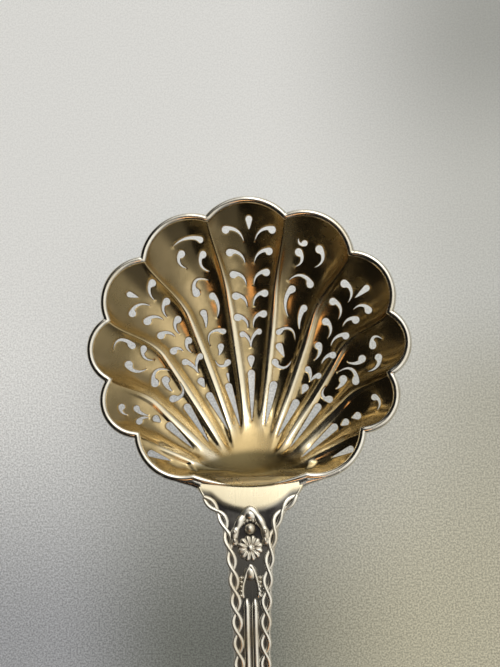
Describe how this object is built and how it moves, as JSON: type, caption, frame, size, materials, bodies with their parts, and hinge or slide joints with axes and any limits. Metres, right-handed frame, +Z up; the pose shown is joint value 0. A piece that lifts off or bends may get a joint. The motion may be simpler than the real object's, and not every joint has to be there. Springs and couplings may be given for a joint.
{
  "type": "sugar sifter spoon",
  "caption": "Pierced scallop shell bowl, gilt inside, on an arched stem with trellis borders, a hood, a rosette and paired rods.",
  "frame": {"origin": "on the table under the middle of the spoon's bounding box", "axes": "+Z up out of the bowl, +Y along the spoon towards the bowl's tip, +X across"},
  "size_m": [0.0524, 0.162, 0.0175],
  "materials": {
    "gilt": "silver sheet gilt inside, polished, worn at the ribs",
    "silver": "cast silver, polished, dark in the recesses"
  },
  "bodies": {
    "root": {"bowl": "gilt", "stem": "silver", "border_left": "silver", "border_right": "silver", "hood": "silver", "knob": "silver", "rosette": "silver", "bud": "silver", "rod_left": "silver", "rod_right": "silver", "medal_ring": "silver", "medal_rosette": "silver"}
  },
  "joints": []
}
